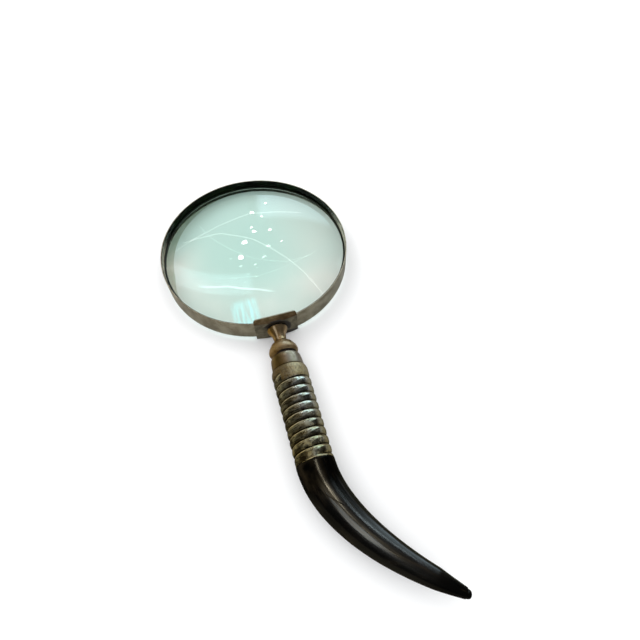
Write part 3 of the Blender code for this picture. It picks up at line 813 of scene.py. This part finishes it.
def spiral_skin(along, angle, radius):
    """Depth of the right-hand spiral groove: narrow, with full rounded ribs between the turns."""
    if radius < 7.6 * MM:
        return 0.0
    drift = 0.025 * MM * noise.noise(Vector((3 * math.cos(angle), along * 90, 3 * math.sin(angle))))
    from_start = (angle - SPIRAL_ANGLE) / TAU
    at = (along - SPIRAL_START) / SPIRAL_PITCH
    nearest = round(at - from_start) + from_start
    if nearest < 0 or nearest > SPIRAL_TURNS:
        return drift
    run_out = min(1.0, 12 * nearest, 12 * (SPIRAL_TURNS - nearest))
    rib = math.sqrt(max(0.0, 1 - (1 - 2 * abs(at - nearest)) ** 2.2))
    return -SPIRAL_DEPTH * run_out * (1 - rib) + drift


def make_sleeve():
    """Neck inside the cap, round shoulder, then the spirally grooved flank, slightly tapered and bored."""
    neck = 6.2 * MM
    shoulder = CAP_END + 0.1 * MM
    bush_bore = 5.25 * MM
    horn_bore = 7.0 * MM
    flank = smooth_curve(shoulder, (
        (0.02, 8.0), (0.12, 8.25), (0.45, 8.55), (1.0, 8.75), (1.6, 8.88), (2.2, 8.95)), 6)
    rows = 430
    first = flank[-1][0] + 0.1 * MM
    ribbed = [(first + (SLEEVE_END - 0.2 * MM - first) * i / rows,
               SLEEVE_R + (SLEEVE_R_LOW - SLEEVE_R) * i / rows) for i in range(rows + 1)]
    step = shoulder + 1.2 * MM
    loops = [(SLEEVE_TOP, bush_bore), (SLEEVE_TOP, neck), (shoulder, neck), (shoulder, 7.7 * MM)]
    loops += flank + ribbed
    loops += [(SLEEVE_END, 8.4 * MM), (SLEEVE_END, horn_bore), (step, horn_bore), (step, bush_bore)]
    sleeve = lathe("spiral_sleeve_turned", loops, "handle", SLEEVE, steps=192, wobble=spiral_skin,
                   smooth_degrees=60)
    stands_for("spiral_sleeve")


def make_sleeve_pin():
    """Short brass pin whose domed end sits flush on the underside of the sleeve."""
    low, high = (corner - LENS_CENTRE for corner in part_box("sleeve_pin"))
    centre = (low + high) / 2
    radius = (high.x - low.x) / 2
    steps = 32
    profile = [(high.z, 0.6 * radius), (high.z - 0.2 * MM, 0.8 * radius), (low.z + 0.25 * MM, radius),
               (low.z + 0.08 * MM, 0.75 * radius), (low.z, 0.3 * radius)]
    verts = []
    for z, r in profile:
        verts += circle(centre.x, centre.y, z, r, steps)
    pin = new_object("sleeve_pin_domed", verts, tube_faces(len(profile), steps), "handle", BRONZE, 50)
    stands_for("sleeve_pin")


# control points of the horn's centreline, seen from above
HORN_CURVE = [np.array(p) * MM for p in ((0.0, -124.7), (0.0, -148.5), (20.4, -171.9), (44.4, -190.6))]


def horn_stations(count):
    """Evenly spaced points along the horn's centreline: distances, places, headings and the full length."""
    a, b, c, d = HORN_CURVE
    t = np.linspace(0, 1, 2001)[:, None]
    points = (1 - t) ** 3 * a + 3 * (1 - t) ** 2 * t * b + 3 * (1 - t) * t * t * c + t ** 3 * d
    lengths = np.r_[0, np.cumsum(np.linalg.norm(np.diff(points, axis=0), axis=1))]
    at = np.linspace(0, lengths[-1], count)
    xs = np.interp(at, lengths, points[:, 0])
    ys = np.interp(at, lengths, points[:, 1])
    heading = np.gradient(np.c_[xs, ys], axis=0)
    heading /= np.linalg.norm(heading, axis=1)[:, None]
    heading[0] = (0, -1)
    return at, np.c_[xs, ys], heading, lengths[-1]


def make_horn():
    """Horn: tenon, tapered and curved body with slight facets, blunt scraped tip."""
    steps = 128
    at, centres, heading, length = horn_stations(220)
    base_r, tip_r = 8.9 * MM, 3.0 * MM
    settle = 6 * MM
    facets_and_ripples = ((0.16 * MM, 2.2, 22), (0.03 * MM, 9, 60))
    verts, uvs = [], []

    def sideways(direction):
        return np.array([-direction[1], direction[0]])

    def ring(centre, direction, radius, distance, uneven=()):
        across = sideways(direction)
        for k in range(steps):
            angle = TAU * k / steps
            r = radius
            for depth, around, down_it in uneven:
                p = Vector((around * math.cos(angle), around * math.sin(angle), distance * down_it))
                r += depth * noise.noise(p) * min(1.0, distance / settle)
            x, y = centre + across * r * math.cos(angle)
            verts.append((x, y, r * math.sin(angle)))
            uvs.append((k / steps, distance / HORN_V))

    bore, tenon, tenon_length = 5.05 * MM, 6.85 * MM, 20 * MM
    down = np.array([0.0, -1.0])
    mouth = 104.3 * MM * down
    ring(mouth, down, bore, -tenon_length)
    ring(mouth, down, tenon, -tenon_length)
    ring(HORN_BASE * down, down, tenon, 0)
    ring(HORN_BASE * down, down, base_r - 0.35 * MM, 0)
    ring((HORN_BASE + 0.06 * MM) * down, down, base_r - 0.12 * MM, 0)
    # near the end the horn narrows faster and shifts to its inner side, then rounds off
    rounding, end_taper, narrowing, shift = 2.0 * MM, 14 * MM, 1.15 * MM, 0.35 * MM
    for distance, centre, direction in zip(at[1:], centres[1:], heading[1:]):
        if distance > length - rounding:
            break
        late = max(0.0, 1 - (length - distance) / end_taper)
        radius = base_r - (base_r - tip_r) * (distance / length) ** 1.4 - narrowing * late
        centre = centre - sideways(direction) * shift * late
        ring(centre, direction, radius, distance, facets_and_ripples)
    for share in np.linspace(0.08, 0.97, 12):
        left = rounding * (1 - share)
        centre = centres[-1] - heading[-1] * left - sideways(heading[-1]) * shift
        radius = (tip_r - narrowing) * (1 - share ** 2.6) ** 0.5
        ring(centre, heading[-1], radius, length - left, facets_and_ripples)
    outer_rows = len(verts) // steps
    faces = grid_faces(outer_rows, steps, False) + [end_face(outer_rows - 1, steps)]
    # blind hollow inside the base, from the tenon's mouth inwards
    hollow = ((0.0, bore), (5.0 * MM, 4.4 * MM), (10.3 * MM, 3.4 * MM), (11.6 * MM, 0.5 * MM))
    for number, (distance, radius) in enumerate(hollow):
        i = int(np.searchsorted(at, distance))
        ring(centres[i], heading[i], radius, distance)
        faces += quads(outer_rows + number - 1 if number else 0, outer_rows + number, steps)
    faces.append(end_face(outer_rows + len(hollow) - 1, steps))
    mesh = bpy.data.meshes.new("horn_grip_polished")
    mesh.from_pydata(verts, [], faces)
    layer = mesh.uv_layers.new(name="horn")
    for polygon in mesh.polygons:
        places = [uvs[mesh.loops[i].vertex_index] for i in polygon.loop_indices]
        wraps = max(u for u, v in places) - min(u for u, v in places) > 0.5
        for i, (u, v) in zip(polygon.loop_indices, places):
            layer.data[i].uv = (u + 1.0 if wraps and u < 0.5 else u, v)
    horn = finish_mesh("horn_grip_polished", mesh, "handle", HORN, 40)
    stands_for("horn_grip")
    return horn


def dress_hidden_nodes():
    """Hidden pieces keep their CAD shape and get a real finish."""
    for node, stuff in (("lens_packing", CARD), ("threaded_bush", BUSH), ("core_plug", WOOD)):
        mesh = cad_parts[node].data
        mesh.materials.clear()
        mesh.materials.append(stuff)


# ------------ stage, light and camera

REST_Y = -81 * MM    # where the sleeve touches the table, in the frame
FLOOR_HALF = 3.0    # half the table's side
ROOM = 3.0    # distance from the lens to the room's lamps
STRIP_WIDTH = 22 * MM
DOT_BRIGHTNESS = 110    # watts a square metre


def make_floor():
    """Pale table top under the far rim edge and the sleeve's shoulder, which is how the glass lies."""
    rim_point = (BAND_R, -BAND_HALF)
    rest_point = (REST_Y, -SLEEVE_R)
    slope = (rim_point[1] - rest_point[1]) / (rim_point[0] - rest_point[0])
    height = rim_point[1] - slope * (LENS_Y + rim_point[0]) - 0.02 * MM
    corners = [(x * FLOOR_HALF, y * FLOOR_HALF) for x, y in ((-1, -1), (1, -1), (1, 1), (-1, 1))]
    verts = [(x, y, height + slope * y) for x, y in corners]
    mesh = bpy.data.meshes.new("table_top")
    mesh.from_pydata(verts, [], [[0, 1, 2, 3]])
    floor = add("table_top", mesh)
    s, place, x, y, _ = start_material("table_top")
    # painted shade on the table as polished pieces see it: dim left of the handle, grey right of it and
    # round the rim
    bend = s.larger(s.times(s.plus(y, 60 * MM), -0.67), 0.0)
    right = s.ramp(s.minus(x, bend), -2 * MM, 8 * MM)
    by_handle = s.mix(right, (0.08, 0.072, 0.050), (0.07, 0.065, 0.045))
    by_rim = s.mix(s.ramp(x, 0.0, BAND_R), (0.43, 0.41, 0.365), (0.35, 0.355, 0.345))
    mirrored = s.mix(s.ramp(y, -8 * MM, 8 * MM), by_handle, by_rim)
    colour = s.mix(s.in_mirror(), (0.93, 0.93, 0.93), mirrored)
    # light that the lens gathers on the table: a streaked cyan pool and a thin white line
    streaks = s.noise(s.stretch(place, (420, 60, 1)), 1.0, detail=2)
    pool = s.times(s.band(x, -18 * MM, -8 * MM, 3 * MM), s.band(y, 26 * MM, 42 * MM, 4 * MM),
                   s.ramp(streaks, 0.25, 0.65))
    ripple = s.plus(y, s.times(x, 0.40), s.times(s.noise(place, 60, detail=1), 4 * MM))
    line = s.times(s.band(ripple, 48.0 * MM, 48.7 * MM, 0.5 * MM), s.band(x, -30 * MM, 0.0, 6 * MM))
    # and a faint painted glow of light towards the glass's left and lower edges
    out = s.length(s.plus(x, 4 * MM), s.minus(y, LENS_Y + 6 * MM))
    clear = s.times(s.ramp(x, 4 * MM, 24 * MM), s.ramp(y, LENS_Y - 26 * MM, LENS_Y - 6 * MM), 0.75)
    edge_glow = s.times(s.ramp(out, 16 * MM, 42 * MM), s.noise(place, 45, detail=3),
                   s.fade(y, LENS_Y + 4 * MM, LENS_Y + 26 * MM), s.inverse(clear))
    glow = s.mix(edge_glow, (0.0, 0.0, 0.0), (0.46, 0.22, 0.22))
    glow = s.mix(pool, glow, (0.22, 0.46, 0.52))
    glow = s.mix(line, glow, (0.45, 0.38, 0.42))
    path = s.node("ShaderNodeLightPath").outputs
    glowing = {"Emission Color": glow, "Emission Strength": path["Is Transmission Ray"]}
    s.principled(colour, 0.6, 0.0, more={"Specular IOR Level": 0.0, **glowing})
    mesh.materials.append(s.material)


def lamp_towards_lens(name, azimuth, elevation, distance, shape, size, power, colour=(1, 1, 1)):
    """An area lamp in one direction from the lens, facing it."""
    light = bpy.data.lights.new(name, "AREA")
    light.shape = shape
    light.size = size
    light.energy = power
    light.color = colour
    lamp = add(name, light)
    lamp.location = towards(azimuth, elevation, distance)
    lamp.rotation_euler = (LENS_CENTRE - lamp.location).to_track_quat("-Z", "Y").to_euler()
    return lamp


def make_world():
    """Even white light on the table. Mirrors see a room: window to the right, dim ceiling, dark behind."""
    world = bpy.data.worlds.new("studio")
    bpy.context.scene.world = world
    s = Shader("studio", world)
    x, y, z = s.split(s.node("ShaderNodeTexCoord").outputs["Generated"])
    azimuth = s.math("DEGREES", s.math("ARCTAN2", x, y))
    height = s.math("DEGREES", s.math("ARCSINE", z))
    turned_away = s.ramp(s.size(azimuth), 55, 66)
    ceiling = s.mix(s.ramp(azimuth, -6, 10), (0.21, 0.135, 0.040), (0.42, 0.41, 0.42))
    ceiling = s.mix(turned_away, ceiling, (0.030, 0.027, 0.024))
    wall = s.mix(s.ramp(azimuth, -50, -12), (0.03, 0.03, 0.025), (0.50, 0.50, 0.44))
    wall = s.mix(turned_away, wall, (0.015, 0.014, 0.012))
    room = s.mix(s.ramp(height, 34, 42), wall, ceiling)
    window = s.times(s.band(height, -12, 35, 4), s.band(azimuth, 9, 57, 3))
    fanlight = s.times(s.band(height, 34, 50, 4), s.band(azimuth, 46, 56, 3))
    room = s.mix(fanlight, room, (1.2, 1.6, 1.7))
    room = s.mix(window, room, (2.3, 3.0, 3.3))
    path = s.node("ShaderNodeLightPath").outputs
    seen = s.mix(path["Is Glossy Ray"], (1.25, 1.26, 1.27), room)
    s.feed(s.out.inputs[0], s.node("ShaderNodeBackground", {"Color": seen}).outputs[0])


def towards(azimuth, elevation, distance):
    """A place seen from the lens: azimuth from +Y to +X and elevation, both in degrees."""
    a, e = math.radians(azimuth), math.radians(elevation)
    level = math.cos(e)
    return LENS_CENTRE + distance * Vector((math.sin(a) * level, math.cos(a) * level, math.sin(e)))


def ceiling_strip(name, start, end, brightness):
    """A thin lamp from one (azimuth, elevation) to another, facing the lens."""
    a, b = towards(*start, ROOM), towards(*end, ROOM)
    middle = (a + b) / 2
    light = bpy.data.lights.new(name, "AREA")
    light.shape = "RECTANGLE"
    light.size = (b - a).length
    light.size_y = STRIP_WIDTH
    light.energy = brightness * math.pi * light.size * light.size_y
    strip = add(name, light)
    along = (b - a).normalized()
    out = (middle - LENS_CENTRE).normalized()
    out = (out - out.dot(along) * along).normalized()
    turn = Matrix((along, out.cross(along), out)).transposed().to_4x4()
    strip.matrix_world = Matrix.Translation(middle) @ turn
    strip.visible_diffuse = False


def make_lights(horn):
    """Soft key, and lamps that only reflections show. The horn has four lamps to itself."""
    key = lamp_towards_lens("soft_key", -40, 45, 1.2, "SQUARE", 0.6, 2.5, (1.0, 0.99, 0.97))
    key.visible_glossy = False
    key.visible_transmission = False
    # small ceiling lamps (azimuth, elevation, size), which show as bright dots in the glass
    for number, (azimuth, elevation, size) in enumerate((
            (0, 47, 0.085), (-4, 53, 0.085), (5, 43, 0.055), (11.5, 43, 0.05), (10, 30, 0.032),
            (5.3, 34, 0.045), (8.5, 36.5, 0.035), (4.3, 41, 0.03), (16.6, 48, 0.03))):
        lamp = lamp_towards_lens("lamp_%d" % number, azimuth, elevation, ROOM, "DISK", size,
                                 DOT_BRIGHTNESS * size ** 2)
        lamp.visible_diffuse = False
    # overhead lamps that light only the horn: a long glint, its warm halo and two cool sheens further down
    only_horn = bpy.data.collections.new("lit_by_overhead")
    only_horn.objects.link(horn)
    for name, azimuth, elevation, size, power, colour in (
            ("overhead_halo", 22, 80, 1.0, 0.8, (1.0, 0.80, 0.62)),
            ("overhead_glint", 22, 80, 0.24, 68.0, (1.0, 0.90, 0.66)),
            ("overhead_back", -138, 67, 1.1, 9.0, (0.95, 1.0, 0.96)),
            ("overhead_right", 58, 41, 0.6, 8.5, (0.80, 0.96, 1.0))):
        lamp = lamp_towards_lens(name, azimuth, elevation, ROOM, "DISK", size, power, colour)
        lamp.visible_diffuse = False
        lamp.visible_transmission = False
        lamp.light_linking.receiver_collection = only_horn
    # two bent strips, which show as fine arcs
    wall_strip = ((-25, 37), (-12, 37), (4, 34.5), (22, 34))
    ceiling_line = ((-21, 36), (-8, 40), (4, 46.5), (18, 54), (32, 59), (52, 63.5))
    for name, bends, brightness in (("strip_wall", wall_strip, 3.0), ("strip_ceiling", ceiling_line, 3.6)):
        for number, (start, end) in enumerate(zip(bends, bends[1:])):
            ceiling_strip("%s_%d" % (name, number), start, end, brightness)


CAMERA_PLACE = Vector((-12.2, -179.5, 215.0)) * MM
CAMERA_AIM = Vector((22.8, -54.1, 0.0)) * MM
CAMERA_ROLL = math.radians(-0.8)


def make_camera():
    """The photograph's point of view, a short way above the handle."""
    data = bpy.data.cameras.new("camera")
    data.lens = 27.0
    data.sensor_width = 36.0
    data.clip_start = 0.01
    camera = add("camera", data)
    camera.location = LENS_CENTRE + CAMERA_PLACE
    turn = (CAMERA_AIM - CAMERA_PLACE).to_track_quat("-Z", "Y").to_matrix()
    camera.rotation_euler = (turn @ Matrix.Rotation(CAMERA_ROLL, 3, "Z")).to_euler()
    bpy.context.scene.camera = camera


make_band()
make_spring_rings()
make_lens()
make_saddle()
make_stem()
make_stud()
make_washer()
make_end_cap()
make_sleeve()
make_sleeve_pin()
horn_piece = make_horn()
dress_hidden_nodes()
make_floor()
make_world()
make_lights(horn_piece)
make_camera()
bpy.context.scene.view_settings.view_transform = "Standard"
